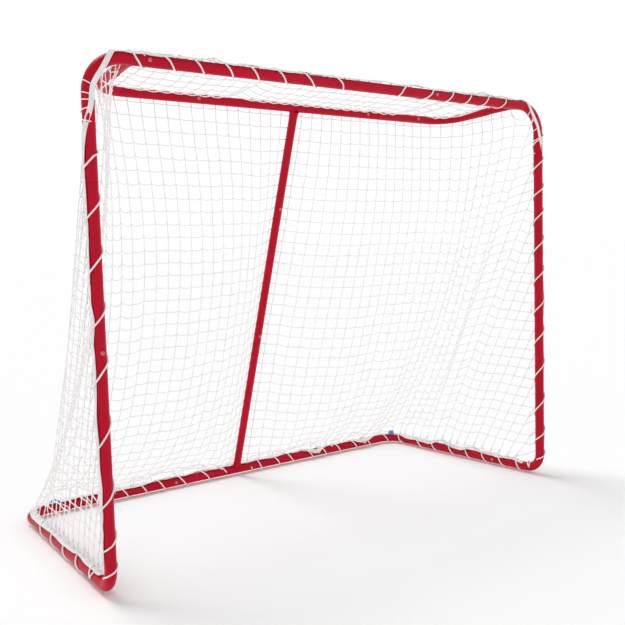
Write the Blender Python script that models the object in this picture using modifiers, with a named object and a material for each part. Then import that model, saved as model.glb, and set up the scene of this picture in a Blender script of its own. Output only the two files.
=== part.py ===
"""Hockey goal: a plugged-together steel tube frame with a slack net laced to it.

Metres, +Z up. The frame is drawn from the mouth plane (y = 0 there, the net behind it at +y) and
hangs on one empty that moves it back by half its depth, so the origin is the middle of the footprint.
"""
import math

import bmesh
import bpy
from mathutils import Matrix, Vector

# ---- driving dimensions -------------------------------------------------------------------------
POST_X = 0.673           # half the distance between the two post centres
BAR_Z = 1.075            # height of the crossbar's centre
BASE_Z = 0.0178          # height of the floor tubes' centre, which rest on their lacing
REAR_X, REAR_Y = 0.642, 0.622          # rear corners of the floor frame
SHELF_X, SHELF_Y, SHELF_Z = 0.558, 0.258, 1.061   # rear corners of the top shelf
ARM_X = 0.578            # where the shelf's arms meet the crossbar
MOUTH_Y = -0.3095       # mouth plane, from the middle of the footprint

TUBE_R = 0.0127          # mouth and floor tube, 1 inch across
THIN_R = 0.0111          # shelf and brace tube, 7/8 inch across
STUB_R = 0.0095          # arm stub, which the arm's end slides over
WALL = 0.0012            # wall of every tube
SLEEVE_R = 0.01105       # inner sleeve of a 1 inch tube
THIN_SLEEVE_R = 0.0094   # inner sleeve of a 7/8 inch tube
GAP = 0.0003             # clearance between pieces that touch

TOP_BEND = 0.075         # centreline radii of the bends
FOOT_BEND = 0.045
REAR_BEND = 0.060
SHELF_BEND = 0.080

POST_SEAM_Z = 0.830      # where one tube ends and the next begins
BAR_SEAM_X = 0.036
SHELF_SEAM_X = 0.030
REAR_SEAM_X = -0.049
RAIL_SEAM_Y = 0.146
ARM_SEAM_Y = 0.095
BRACE_SEAMS = (0.068, 0.946)   # shares of the brace's length, from the top

REST_X = (0.045, -0.030)       # the stretches of floor tube, clear of the lacing, that it can rest on
REST_Y = (0.210, 0.250)

CORD_R = 0.0018          # lacing cord
LACE_R = 0.0160          # radius of a lacing turn about a 1 inch tube
LACE_BUMP = 0.0040       # how much further out it runs over the edge tape
TURN_STEPS = 8           # points in one lacing turn
TAPE_W, TAPE_T = 0.012, 0.0012       # edge tape
NET_T = 0.003            # the net's stand-in sheets
NET_CLEAR = 0.0215       # from a laced tube's centre to the net's edge

SCREW_HEAD_R, SCREW_HEAD_H = 0.0045, 0.0026
SCREW_R, SCREW_L = 0.0019, 0.0070
HOLE_R = 0.0024

# Where the cord crosses the visible side of each tube, as the distance along that tube's axis.
LACES_BAR_LEFT = (-0.558, -0.492, -0.425, -0.353, -0.288, -0.216, -0.139, -0.046)
LACES_BAR_RIGHT = (0.149, 0.250, 0.323, 0.392, 0.459, 0.533)
LACES_POST_LEFT = (0.114, 0.209, 0.338, 0.466, 0.570, 0.680, 0.782, 0.880)
LACES_POST_RIGHT = (0.128, 0.225, 0.330, 0.426, 0.515, 0.603, 0.691, 0.778, 0.854)
LACES_RAIL_LEFT = (0.124, 0.216, 0.309, 0.404, 0.490)
LACES_RAIL_RIGHT = (0.082, 0.146, 0.213, 0.280, 0.348, 0.426, 0.491)
LACES_REAR_LEFT = (-0.535, -0.471, -0.428, -0.363, -0.306, -0.250, -0.182, -0.101, -0.037)
LACES_REAR_RIGHT = (0.536, 0.476, 0.404, 0.344, 0.288, 0.208, 0.157, 0.087, 0.055)

COLOURS = {
    "frame": ((0.50, 0.005, 0.030), 0.28, 0.3),
    "steel": ((0.62, 0.62, 0.64), 0.35, 1.0),
    "net": ((0.86, 0.86, 0.86), 0.85, 0.0),
    "cord": ((0.90, 0.89, 0.88), 0.80, 0.0),
    "tape": ((0.80, 0.79, 0.79), 0.80, 0.0),
    "clip": ((0.10, 0.22, 0.70), 0.45, 0.0),
}


# ---- scene and helpers --------------------------------------------------------------------------
def clear_scene():
    for old in list(bpy.data.objects):
        bpy.data.objects.remove(old, do_unlink=True)


def new_collection(name):
    made = bpy.data.collections.new(name)
    bpy.context.scene.collection.children.link(made)
    return made


def make_material(name, colour, roughness, metallic):
    made = bpy.data.materials.new(name)
    made.use_nodes = True
    shader = made.node_tree.nodes["Principled BSDF"]
    shader.inputs["Base Color"].default_value = (*colour, 1.0)
    shader.inputs["Roughness"].default_value = roughness
    shader.inputs["Metallic"].default_value = metallic
    return made


clear_scene()
PARTS = new_collection("hockey_goal")
CUTTERS = new_collection("cutters")
MATERIALS = {name: make_material(name, *look) for name, look in COLOURS.items()}
ROOT = bpy.data.objects.new("goal_frame", None)
ROOT.location = (0.0, MOUTH_Y, 0.0)
PARTS.objects.link(ROOT)


def add_part(name, mesh, material, smooth=True):
    """One sub-part from a mesh drawn in the mouth's own coordinates."""
    part = bpy.data.objects.new(name, mesh)
    PARTS.objects.link(part)
    part.parent = ROOT
    mesh.materials.clear()
    mesh.materials.append(MATERIALS[material])
    if smooth:
        mesh.shade_smooth()
        mesh.set_sharp_from_angle(angle=math.radians(40))
    return part


def rounded(corners, radii=(), steps=6):
    """A polyline through the corners, with an arc of the given radius at each inner one."""
    corners = [Vector(c) for c in corners]
    line = [corners[0]]
    for before, corner, after, radius in zip(corners, corners[1:], corners[2:], radii):
        if radius == 0:
            line.append(corner)
            continue
        back, on = (before - corner).normalized(), (after - corner).normalized()
        half = back.angle(on) / 2
        centre = corner + (back + on).normalized() * (radius / math.sin(half))
        first = corner + back * (radius / math.tan(half)) - centre
        axis = first.cross(corner + on * (radius / math.tan(half)) - centre).normalized()
        sweep = math.pi - 2 * half
        for k in range(steps + 1):
            line.append(centre + Matrix.Rotation(sweep * k / steps, 3, axis) @ first)
    line.append(corners[-1])
    return line


def curve_mesh(name, line, radius, resolution, tilt=0.0, caps=True):
    """The mesh of a round bar that follows the line; resolution 4 gives 12 sides."""
    data = bpy.data.curves.new(name, "CURVE")
    data.dimensions = "3D"
    data.bevel_depth = radius
    data.bevel_resolution = resolution
    data.use_fill_caps = caps
    spline = data.splines.new("POLY")
    spline.points.add(len(line) - 1)
    for point, place in zip(spline.points, line):
        point.co = (*place, 1.0)
        point.tilt = tilt
    bar = bpy.data.objects.new(name, data)
    bpy.context.scene.collection.objects.link(bar)
    bpy.context.view_layer.update()
    mesh = bpy.data.meshes.new_from_object(bar.evaluated_get(bpy.context.evaluated_depsgraph_get()))
    bpy.data.objects.remove(bar, do_unlink=True)
    weld = bmesh.new()
    weld.from_mesh(mesh)
    bmesh.ops.remove_doubles(weld, verts=weld.verts, dist=1e-6)
    bmesh.ops.recalc_face_normals(weld, faces=weld.faces)
    weld.to_mesh(mesh)
    weld.free()
    mesh.name = name
    return mesh


FLAT_DOWN = math.radians(15)   # turns a 12-sided tube so that a flat faces down, front and back


def outward(mesh, line):
    """Turn an open tube's faces to point away from the line it follows."""
    shell = bmesh.new()
    shell.from_mesh(mesh)
    face = min(shell.faces, key=lambda f: (f.calc_center_median() - line[0]).length)
    nearest = min(line, key=lambda p: (p - face.calc_center_median()).length)
    if face.normal.dot(face.calc_center_median() - nearest) < 0:
        bmesh.ops.reverse_faces(shell, faces=shell.faces)
    shell.to_mesh(mesh)
    shell.free()


def tube(name, line, radius, material="frame", wall=WALL):
    """A hollow tube, open at both ends."""
    mesh = curve_mesh(name, line, radius, 4, FLAT_DOWN, caps=False)
    outward(mesh, line)
    part = add_part(name, mesh, material)
    shell = part.modifiers.new("wall", "SOLIDIFY")
    shell.thickness = wall
    shell.offset = -1.0
    shell.use_even_offset = True
    return part


def cutter(name, start, end, radius, sides=8):
    """A round cutting tool between two points, in the mouth's own coordinates."""
    axis = Vector(end) - Vector(start)
    mesh = bpy.data.meshes.new(name)
    tool = bmesh.new()
    bmesh.ops.create_cone(tool, cap_ends=True, segments=sides, radius1=radius, radius2=radius,
                          depth=axis.length)
    turn = axis.to_track_quat("Z", "Y").to_matrix().to_4x4()
    middle = (Vector(start) + Vector(end)) / 2
    bmesh.ops.transform(tool, matrix=Matrix.Translation(middle) @ turn, verts=tool.verts)
    tool.to_mesh(mesh)
    tool.free()
    made = bpy.data.objects.new(name, mesh)
    CUTTERS.objects.link(made)
    made.parent = ROOT
    made.hide_render = True
    made.display_type = "WIRE"
    return made


def cut(part, tool):
    step = part.modifiers.new(tool.name, "BOOLEAN")
    step.operation = "DIFFERENCE"
    step.object = tool


def screw(name, on_axis, out, radius, cuts):
    """A pan-head screw through the flat of a tube; out points away from the tube's axis."""
    out = Vector(out).normalized()
    seat = radius * math.cos(FLAT_DOWN) + GAP
    outline = [(0.0, seat + SCREW_HEAD_H), (0.55 * SCREW_HEAD_R, seat + SCREW_HEAD_H),
               (0.88 * SCREW_HEAD_R, seat + 0.7 * SCREW_HEAD_H), (SCREW_HEAD_R, seat),
               (SCREW_R, seat), (SCREW_R, seat - SCREW_L), (0.0, seat - SCREW_L - SCREW_R)]
    mesh = bpy.data.meshes.new(name)
    turned = bmesh.new()
    corners = [turned.verts.new((x, 0.0, z)) for x, z in outline]
    edges = [turned.edges.new(pair) for pair in zip(corners, corners[1:])]
    bmesh.ops.spin(turned, geom=corners + edges, cent=(0, 0, 0), axis=(0, 0, 1),
                   angle=math.tau, steps=12, use_merge=True)
    bmesh.ops.remove_doubles(turned, verts=turned.verts, dist=1e-6)
    bmesh.ops.recalc_face_normals(turned, faces=turned.faces)
    turned.to_mesh(mesh)
    turned.free()
    part = add_part(name, mesh, "steel")
    part.location = on_axis
    part.rotation_mode = "QUATERNION"
    part.rotation_quaternion = out.to_track_quat("Z", "Y")
    place = Vector(on_axis)
    tool = cutter(name + "_hole", place + out * (seat - SCREW_L - 0.0035), place + out * 0.03, HOLE_R)
    for other in cuts:
        cut(other, tool)
    return part


def between(a, b, share):
    return Vector(a).lerp(Vector(b), share)


# ---- frame tubes --------------------------------------------------------------------------------
def rail_point(side, y):
    """A point of a floor rail's centreline, at this distance behind the mouth."""
    return between((side * POST_X, 0, BASE_Z), (side * REAR_X, REAR_Y, BASE_Z), y / REAR_Y)


def arm_point(side, y):
    return between((side * ARM_X, 0, BAR_Z), (side * SHELF_X, SHELF_Y, SHELF_Z), y / SHELF_Y)


def brace_point(share):
    return between((0, SHELF_Y, SHELF_Z), (0, REAR_Y, BASE_Z), share)


def build_frame():
    made = {}
    for side, word in ((-1, "left"), (1, "right")):
        bar_end = BAR_SEAM_X + side * GAP / 2
        shelf_end = SHELF_SEAM_X + side * GAP / 2
        rear_end = REAR_SEAM_X + side * GAP / 2
        made["corner", side] = tube(
            f"mouth_corner_{word}",
            rounded([(side * POST_X, 0, POST_SEAM_Z), (side * POST_X, 0, BAR_Z), (bar_end, 0, BAR_Z)],
                    [TOP_BEND]),
            TUBE_R)
        made["post", side] = tube(
            f"post_{word}",
            rounded([(side * POST_X, 0, POST_SEAM_Z - GAP), (side * POST_X, 0, BASE_Z),
                     rail_point(side, RAIL_SEAM_Y)], [FOOT_BEND]),
            TUBE_R)
        made["base", side] = tube(
            f"base_corner_{word}",
            rounded([rail_point(side, RAIL_SEAM_Y + GAP), rail_point(side, REST_Y[0]), rail_point(side, REST_Y[1]),
                     rail_point(side, REAR_Y), (REST_X[0] if side > 0 else rear_end - 0.05, REAR_Y, BASE_Z),
                     (REST_X[1] if side > 0 else rear_end - 0.02, REAR_Y, BASE_Z),
                     (rear_end, REAR_Y, BASE_Z)],
                    [0, 0, REAR_BEND, 0, 0]),
            TUBE_R)
        made["shelf", side] = tube(
            f"shelf_{word}",
            rounded([arm_point(side, ARM_SEAM_Y), (side * SHELF_X, SHELF_Y, SHELF_Z),
                     (shelf_end, SHELF_Y, SHELF_Z)], [SHELF_BEND]),
            THIN_R)
        stub = tube(f"arm_stub_{word}", [arm_point(side, 0.006), arm_point(side, ARM_SEAM_Y + 0.045)],
                    STUB_R)
        cut(stub, cutter(f"arm_saddle_{word}", (side * (ARM_X - 0.06), 0, BAR_Z),
                         (side * (ARM_X + 0.06), 0, BAR_Z), TUBE_R + GAP, 24))
    upper, lower = BRACE_SEAMS
    made["brace"] = tube("brace", [brace_point(upper + 0.0002), brace_point(lower - 0.0002)], THIN_R)
    top_stub = tube("brace_stub_upper", [brace_point(0.006), brace_point(upper)], THIN_R)
    foot_stub = tube("brace_stub_lower", [brace_point(lower), brace_point(0.994)], THIN_R)
    cut(top_stub, cutter("brace_saddle_upper", (-0.04, SHELF_Y, SHELF_Z), (0.04, SHELF_Y, SHELF_Z),
                         THIN_R + GAP, 24))
    cut(foot_stub, cutter("brace_saddle_lower", (-0.04, REAR_Y, BASE_Z), (0.04, REAR_Y, BASE_Z),
                          TUBE_R + GAP, 24))
    return made


def build_sleeves():
    """The hidden inner sleeves that plug the tubes together, each as long as its screws need."""
    made = {"bar": tube("crossbar_sleeve", [Vector((-0.550, 0, BAR_Z)), Vector((0.290, 0, BAR_Z))],
                        SLEEVE_R)}
    for side, word in ((-1, "left"), (1, "right")):
        made["post", side] = tube(f"post_sleeve_{word}", [Vector((side * POST_X, 0, 0.480)),
                                                          Vector((side * POST_X, 0, 0.890))], SLEEVE_R)
        made["rail", side] = tube(f"rail_sleeve_{word}", [rail_point(side, 0.095), rail_point(side, 0.220)],
                                  SLEEVE_R)
    made["rear"] = tube("rear_bar_sleeve", [Vector((-0.235, REAR_Y, BASE_Z)), Vector((-0.010, REAR_Y, BASE_Z))],
                        SLEEVE_R)
    made["shelf"] = tube("shelf_sleeve", [Vector((-0.315, SHELF_Y, SHELF_Z)), Vector((0.268, SHELF_Y, SHELF_Z))],
                         THIN_SLEEVE_R)
    made["upper"] = tube("brace_sleeve_upper", [brace_point(0.028), brace_point(0.275)], THIN_SLEEVE_R)
    made["lower"] = tube("brace_sleeve_lower", [brace_point(0.565), brace_point(0.975)], THIN_SLEEVE_R)
    return made


def build_screws(frame, sleeves):
    front = (0, -1, 0)
    brace_front = (brace_point(1) - brace_point(0)).cross(Vector((1, 0, 0)))
    if brace_front.y > 0:
        brace_front = -brace_front
    screw("screw_crossbar_left", (-0.528, 0, BAR_Z), front, TUBE_R, [frame["corner", -1], sleeves["bar"]])
    screw("screw_crossbar_right", (0.270, 0, BAR_Z), front, TUBE_R, [frame["corner", 1], sleeves["bar"]])
    screw("screw_post_left", (-POST_X, 0, 0.500), front, TUBE_R, [frame["post", -1], sleeves["post", -1]])
    screw("screw_post_right", (POST_X, 0, 0.500), (0, 1, 0), TUBE_R, [frame["post", 1], sleeves["post", 1]])
    for side, word, place in ((-1, "left", 0.194), (1, "right", 0.167)):
        screw(f"screw_rail_{word}", rail_point(side, place), (-side, 0, 0), TUBE_R,
              [frame["base", side], sleeves["rail", side]])
    screw("screw_rear_bar", (-0.212, REAR_Y, BASE_Z), front, TUBE_R, [frame["base", -1], sleeves["rear"]])
    screw("screw_shelf_left", (-0.292, SHELF_Y, SHELF_Z), front, THIN_R,
          [frame["shelf", -1], sleeves["shelf"]])
    screw("screw_shelf_right", (0.246, SHELF_Y, SHELF_Z), front, THIN_R,
          [frame["shelf", 1], sleeves["shelf"]])
    screw("screw_shelf_end", (0.440, SHELF_Y, SHELF_Z), front, THIN_R, [frame["shelf", 1]])
    screw("screw_brace_upper", brace_point(0.247), brace_front, THIN_R, [frame["brace"], sleeves["upper"]])
    screw("screw_brace_lower", brace_point(0.592), brace_front, THIN_R, [frame["brace"], sleeves["lower"]])


# ---- net, tape and lacing -----------------------------------------------------------------------
def strip(name, stations, thickness, material):
    """A flat band through stations of (centre, unit vector across, unit vector out of its face)."""
    mesh = bpy.data.meshes.new(name)
    band = bmesh.new()
    rings = []
    for centre, across, out in stations:
        a, o = Vector(across).normalized() * TAPE_W / 2, Vector(out).normalized() * thickness / 2
        rings.append([band.verts.new(Vector(centre) + x) for x in (a + o, -a + o, -a - o, a - o)])
    for ring, following in zip(rings, rings[1:]):
        for k in range(4):
            band.faces.new((ring[k], ring[(k + 1) % 4], following[(k + 1) % 4], following[k]))
    band.faces.new(rings[0])
    band.faces.new(rings[-1])
    bmesh.ops.recalc_face_normals(band, faces=band.faces)
    band.to_mesh(mesh)
    band.free()
    return add_part(name, mesh, material)


def build_tapes():
    """The net's edge tapes: one round the mouth, cutting its two bends, and one along the floor tubes."""
    lift = TUBE_R + GAP + TAPE_T / 2
    front_y = -(TUBE_R + 2 * GAP + TAPE_T)
    y_axis, z_axis = Vector((0, 1, 0)), Vector((0, 0, 1))
    for side, word in ((-1, "left"), (1, "right")):
        x_axis = Vector((side, 0, 0))
        flat = Vector((side * 0.88, 0, 0.48))
        stations = [((side * (POST_X + lift), 0, 0.095), y_axis, x_axis),
                    ((side * (POST_X + lift), 0, 0.890), y_axis, x_axis),
                    ((side * (POST_X + lift - 0.0005), -0.006, 0.935), y_axis + 0.4 * flat, x_axis),
                    ((side * (POST_X - 0.006), front_y - 0.004, 0.985), flat, -y_axis),
                    ((side * (POST_X - 0.030), front_y - 0.004, 1.045), flat, -y_axis),
                    ((side * (POST_X - 0.052), front_y - 0.001, BAR_Z + 0.012), flat + 0.6 * y_axis,
                     z_axis - y_axis),
                    ((side * 0.590, -0.002, BAR_Z + lift + 0.001), y_axis, z_axis),
                    ((side * 0.540, 0, BAR_Z + lift), y_axis, z_axis),
                    ((side * 0.0005, 0, BAR_Z + lift), y_axis, z_axis)]
        strip(f"mouth_tape_{word}", stations, TAPE_T, "tape")
        rail = rounded([rail_point(side, 0.060), rail_point(side, REAR_Y), (0.012 * side, REAR_Y, BASE_Z)],
                       [REAR_BEND])
        stations = []
        for k, place in enumerate(rail):
            along = rail[min(k + 1, len(rail) - 1)] - rail[max(k - 1, 0)]
            stations.append((place + z_axis * lift, along.cross(z_axis), z_axis))
        strip(f"floor_tape_{word}", stations, TAPE_T, "tape")


def walk(line, distance):
    """The point that far along a polyline, and the direction there."""
    for a, b in zip(line, line[1:]):
        step = (b - a).length
        if distance <= step or b is line[-1]:
            return a + (b - a) * (distance / step), (b - a) / step
        distance -= step


def distance_to(line, place):
    """How far along a polyline the point nearest to the given place is."""
    best, passed = (1e9, 0.0), 0.0
    for a, b in zip(line, line[1:]):
        step = (b - a).length
        share = min(1.0, max(0.0, (Vector(place) - a).dot(b - a) / step ** 2))
        gap = (a.lerp(b, share) - Vector(place)).length
        best = min(best, (gap, passed + share * step))
        passed += step
    return best[1]


def lacing(name, line, crossings, level, turn, over):
    """Cord turns about a tube whose line stays square to the unit vector level. Each crossing is a
    place and the side the cord passes there; over is the side of the tube the edge tape lies on."""
    level, keys = Vector(level), []
    for place, toward in crossings:
        distance = distance_to(line, place)
        across = walk(line, distance)[1].cross(level)
        angle = turn * math.atan2(Vector(toward).dot(level), Vector(toward).dot(across))
        while keys and angle < keys[-1][1] + 0.75 * math.pi:
            angle += math.tau
        keys.append((distance, angle))
    route = []
    for (here, a), (following, b) in zip(keys, keys[1:]):
        count = max(1, round((b - a) / math.tau * TURN_STEPS))
        route += [(here + (following - here) * k / count, a + (b - a) * k / count) for k in range(count)]
    route.append(keys[-1])
    cord = []
    for distance, angle in route:
        place, along = walk(line, distance)
        out = along.cross(level) * math.cos(angle) + level * (turn * math.sin(angle))
        bump = max(0.0, out.dot(Vector(over))) ** 2 * LACE_BUMP
        cord.append(place + out * (LACE_R + bump))
    return add_part(name, curve_mesh(name, cord, CORD_R, 1), "cord")


def build_lacing():
    front, up = (0, -1, 0), (0, 0, 1)
    bar = [Vector((-POST_X, 0, BAR_Z)), Vector((POST_X, 0, BAR_Z))]
    for word, places, turn in (("left", LACES_BAR_LEFT, -1), ("right", LACES_BAR_RIGHT, 1)):
        lacing(f"lacing_crossbar_{word}", bar, [((x, 0, BAR_Z), front) for x in places], front, turn, up)
    for side, word, places in ((-1, "left", LACES_POST_LEFT), (1, "right", LACES_POST_RIGHT)):
        post = [Vector((side * POST_X, 0, 0)), Vector((side * POST_X, 0, BAR_Z))]
        lacing(f"lacing_post_{word}", post, [((side * POST_X, 0, z), front) for z in places], front, -1,
               (side, 0, 0))
    for side, word, rail_places, rear_places in ((-1, "left", LACES_RAIL_LEFT, LACES_REAR_LEFT),
                                                 (1, "right", LACES_RAIL_RIGHT, LACES_REAR_RIGHT)):
        floor = rounded([rail_point(side, 0), rail_point(side, REAR_Y), (0, REAR_Y, BASE_Z)], [REAR_BEND], 8)
        crossings = [(rail_point(side, y), (-1, 0, 0)) for y in rail_places]
        lacing(f"lacing_rail_{word}", floor, crossings, up, -1, up)
        bend = Vector((side * (REAR_X - REAR_BEND), REAR_Y - REAR_BEND, BASE_Z))
        crossings = []
        for degrees in (8, 62):
            out = Vector((side * math.cos(math.radians(degrees)), math.sin(math.radians(degrees)), 0))
            crossings.append((bend + out * REAR_BEND, -side * out))
        crossings += [((x, REAR_Y, BASE_Z), front) for x in rear_places]
        lacing(f"lacing_rear_{word}", floor, crossings, up, -1, up)


def bezier(points, share):
    """A point of the curve that the control points give."""
    points = [Vector(p) for p in points]
    while len(points) > 1:
        points = [a.lerp(b, share) for a, b in zip(points, points[1:])]
    return points[0]


def sheet(name, edge_a, edge_b, columns, rows, sag=(0, 0, 0)):
    """A thin closed sheet between two edges, each a list of control points, with a sag between them."""
    mesh = bpy.data.meshes.new(name)
    cloth = bmesh.new()
    bmesh.ops.create_grid(cloth, x_segments=columns, y_segments=rows, size=0.5)
    for vert in cloth.verts:
        u, v = vert.co.x + 0.5, vert.co.y + 0.5
        hang = 16 * u * (1 - u) * v * (1 - v)
        vert.co = bezier(edge_a, v).lerp(bezier(edge_b, v), u) + Vector(sag) * hang
    cloth.to_mesh(mesh)
    cloth.free()
    part = add_part(name, mesh, "net")
    skin = part.modifiers.new("thickness", "SOLIDIFY")
    skin.thickness = NET_T
    skin.offset = 0.0
    return part


def build_net():
    """Plain sheets where the slack net hangs: it drapes over the brace and sags between the tubes."""
    brace_clear = THIN_R + NET_T
    for side, word in ((-1, "left"), (1, "right")):
        corner = [(side * 0.580, SHELF_Y + 0.022, SHELF_Z + 0.002), (side * 0.582, SHELF_Y + 0.032, 0.60),
                  (side * 0.605, SHELF_Y - 0.018, 0.13), (side * 0.640, REAR_Y - 0.045, BASE_Z + 0.030)]
        back_corner = [Vector(p) + Vector((-side * 0.004, 0.0, 0.0)) for p in corner]
        middle = [(side * 0.004, SHELF_Y + brace_clear, SHELF_Z + 0.002),
                  (side * 0.004, REAR_Y + brace_clear - 0.006, BASE_Z + 0.028)]
        sheet(f"net_back_{word}", back_corner, middle, 6, 8)
        post = [(side * (POST_X + 0.006), NET_CLEAR, 0.985), (side * (POST_X + 0.006), NET_CLEAR, 0.075)]
        sheet(f"net_side_{word}", post, corner, 6, 8)
    top = BAR_Z + THIN_R + 0.0028
    front_edge = [(-0.600, NET_CLEAR + 0.001, top), (0.600, NET_CLEAR + 0.001, top)]
    rear_edge = [(-0.575, SHELF_Y + 0.010, SHELF_Z + THIN_R + 0.0024),
                 (0.575, SHELF_Y + 0.010, SHELF_Z + THIN_R + 0.0024)]
    sheet("net_top", front_edge, rear_edge, 4, 8)


def build_clips():
    """A small blue cord clip sits on the tape at each rear corner."""
    for side, word in ((-1, "left"), (1, "right")):
        turn = math.radians(55)
        centre = Vector((side * (REAR_X - REAR_BEND + math.cos(turn) * REAR_BEND),
                         REAR_Y - REAR_BEND + math.sin(turn) * REAR_BEND, BASE_Z))
        mesh = bpy.data.meshes.new(f"blue_clip_{word}")
        body = bmesh.new()
        bmesh.ops.create_cube(body, size=1.0)
        bmesh.ops.scale(body, vec=(0.017, 0.010, 0.008), verts=body.verts)
        body.to_mesh(mesh)
        body.free()
        clip = add_part(f"blue_clip_{word}", mesh, "clip", smooth=False)
        clip.location = centre + Vector((0, 0, TUBE_R + TAPE_T + 2 * GAP + 0.004))
        clip.rotation_euler = (0, 0, -side * (math.pi / 2 - turn))
        rounding = clip.modifiers.new("rounding", "BEVEL")
        rounding.width = 0.002
        rounding.segments = 2


def main():
    frame = build_frame()
    sleeves = build_sleeves()
    build_screws(frame, sleeves)
    build_tapes()
    build_lacing()
    build_net()
    build_clips()


main()
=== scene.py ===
"""The hockey goal as it looks: gloss crimson tube with welds and screws, cord lacing, edge tape, and a
knotted net let down over the frame by a small string simulation."""

import math

import bmesh
import bpy
import numpy as np
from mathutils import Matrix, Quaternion, Vector


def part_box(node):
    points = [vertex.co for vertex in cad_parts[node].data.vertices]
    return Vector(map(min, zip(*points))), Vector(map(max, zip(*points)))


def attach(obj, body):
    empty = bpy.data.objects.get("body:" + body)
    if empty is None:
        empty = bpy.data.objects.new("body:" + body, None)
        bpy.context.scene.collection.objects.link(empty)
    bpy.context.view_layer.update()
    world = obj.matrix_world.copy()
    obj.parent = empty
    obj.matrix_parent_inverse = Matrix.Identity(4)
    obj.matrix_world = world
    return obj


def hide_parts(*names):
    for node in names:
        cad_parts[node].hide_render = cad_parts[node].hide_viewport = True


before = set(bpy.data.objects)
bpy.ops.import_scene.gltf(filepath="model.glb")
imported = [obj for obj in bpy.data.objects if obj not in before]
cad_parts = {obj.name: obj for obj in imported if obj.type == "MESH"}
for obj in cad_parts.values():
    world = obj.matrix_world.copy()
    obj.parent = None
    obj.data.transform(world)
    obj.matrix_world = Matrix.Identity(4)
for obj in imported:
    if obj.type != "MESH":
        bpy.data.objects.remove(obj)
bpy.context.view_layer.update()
rng = np.random.default_rng(54)


def middle(node):
    low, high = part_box(node)
    return (np.array(low) + np.array(high)) / 2


# ---- where the CAD frame is ----
MOUTH_Y = float(middle("crossbar_sleeve")[1])
BAR_Z = float(middle("crossbar_sleeve")[2])
POST_X = float(middle("post_sleeve_right")[0])
REAR_Y, BASE_Z = (float(v) for v in middle("rear_bar_sleeve")[1:])
SHELF_Y, SHELF_Z = (float(v) for v in middle("shelf_sleeve")[1:])
REAR_X, SHELF_X, ARM_X = 0.642, 0.558, 0.578
DEPTH = REAR_Y - MOUTH_Y

TUBE_R, THIN_R, STUB_R = 0.0127, 0.0111, 0.0095
TOP_BEND, FOOT_BEND, REAR_BEND, SHELF_BEND = 0.075, 0.045, 0.060, 0.080
POST_SEAM_Z, BAR_SEAM_X, SHELF_SEAM_X, REAR_SEAM_X = 0.830, 0.036, 0.030, -0.049
RAIL_SEAM, ARM_SEAM = 0.146, 0.095
BRACE_SEAMS = (0.068, 0.946)

CORD_R = 0.0018
TAPE_T = 0.0011
TWINE_R = 0.0012
KNOT_R = 0.0026
MESH = 0.0340            # side of one mesh of the net
LINKS = 4                # links in one mesh side in the simulation

LACES_BAR_LEFT = (-0.575, -0.500, -0.433, -0.361, -0.296, -0.225, -0.149, -0.056)
LACES_BAR_RIGHT = (0.137, 0.237, 0.310, 0.378, 0.445, 0.518)
LACES_POST_LEFT = (0.058, 0.114, 0.209, 0.338, 0.466, 0.570, 0.680, 0.782, 0.880)
LACES_POST_RIGHT = (0.060, 0.128, 0.225, 0.330, 0.426, 0.515, 0.603, 0.691, 0.775, 0.843, 0.922, 0.990)
LACES_RAIL_LEFT = (0.090, 0.180, 0.272, 0.365, 0.449)
LACES_RAIL_RIGHT = (0.026, 0.071, 0.135, 0.202, 0.268, 0.336, 0.413, 0.478)
LACES_REAR_LEFT = (-0.540, -0.476, -0.433, -0.369, -0.312, -0.256, -0.189, -0.108, -0.044)
LACES_REAR_RIGHT = (0.525, 0.466, 0.394, 0.334, 0.279, 0.199, 0.149, 0.079, 0.047)

SIDES = ((-1, "left"), (1, "right"))
FRONT, BACK = np.array((0.0, -1.0, 0.0)), np.array((0.0, 1.0, 0.0))
UP, DOWN = np.array((0.0, 0.0, 1.0)), np.array((0.0, 0.0, -1.0))


def outer(side):
    return np.array((float(side), 0.0, 0.0))


def unit(v):
    v = np.asarray(v, float)
    return v / np.linalg.norm(v, axis=-1, keepdims=True)


def post_point(side, height):
    return np.array((side * POST_X, MOUTH_Y, height))


def bar_point(x):
    return np.array((x, MOUTH_Y, BAR_Z))


def rail_point(side, back):
    """A point of a floor rail's line, that far behind the mouth."""
    x = POST_X + (REAR_X - POST_X) * back / DEPTH
    return np.array((side * x, MOUTH_Y + back, BASE_Z))


def arm_point(side, back):
    share = back / (SHELF_Y - MOUTH_Y)
    return np.array((side * (ARM_X + (SHELF_X - ARM_X) * share), MOUTH_Y + back,
                     BAR_Z + (SHELF_Z - BAR_Z) * share))


def brace_point(share):
    return np.array((0, SHELF_Y, SHELF_Z)) * (1 - share) + np.array((0, REAR_Y, BASE_Z)) * share


# ---- lines and sweeps ----
def rounded(corners, radii, steps=18):
    """A polyline through the corners with an arc at each inner one."""
    corners = [np.asarray(c, float) for c in corners]
    line = [corners[0]]
    for before, corner, after, radius in zip(corners, corners[1:], corners[2:], radii):
        back, on = unit(before - corner), unit(after - corner)
        half = math.acos(float(np.clip(back @ on, -1, 1))) / 2
        centre = corner + unit(back + on) * radius / math.sin(half)
        first = corner + back * radius / math.tan(half) - centre
        last = corner + on * radius / math.tan(half) - centre
        sweep = math.pi - 2 * half
        for k in range(steps + 1):
            share = k / steps
            line.append(centre + (first * math.sin(sweep * (1 - share)) + last * math.sin(sweep * share))
                        / math.sin(sweep))
    line.append(corners[-1])
    return np.array(line)


def lengths(line):
    return np.concatenate([[0], np.cumsum(np.linalg.norm(np.diff(line, axis=0), axis=1))])


def spaced(line, step):
    """The same line with points every so often."""
    whole = lengths(line)[-1]
    return at_distance(line, np.linspace(0, whole, max(2, int(round(whole / step)) + 1)))


def at_distance(line, distance):
    passed = lengths(line)
    return np.stack([np.interp(distance, passed, line[:, k]) for k in range(3)], axis=-1)


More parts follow.
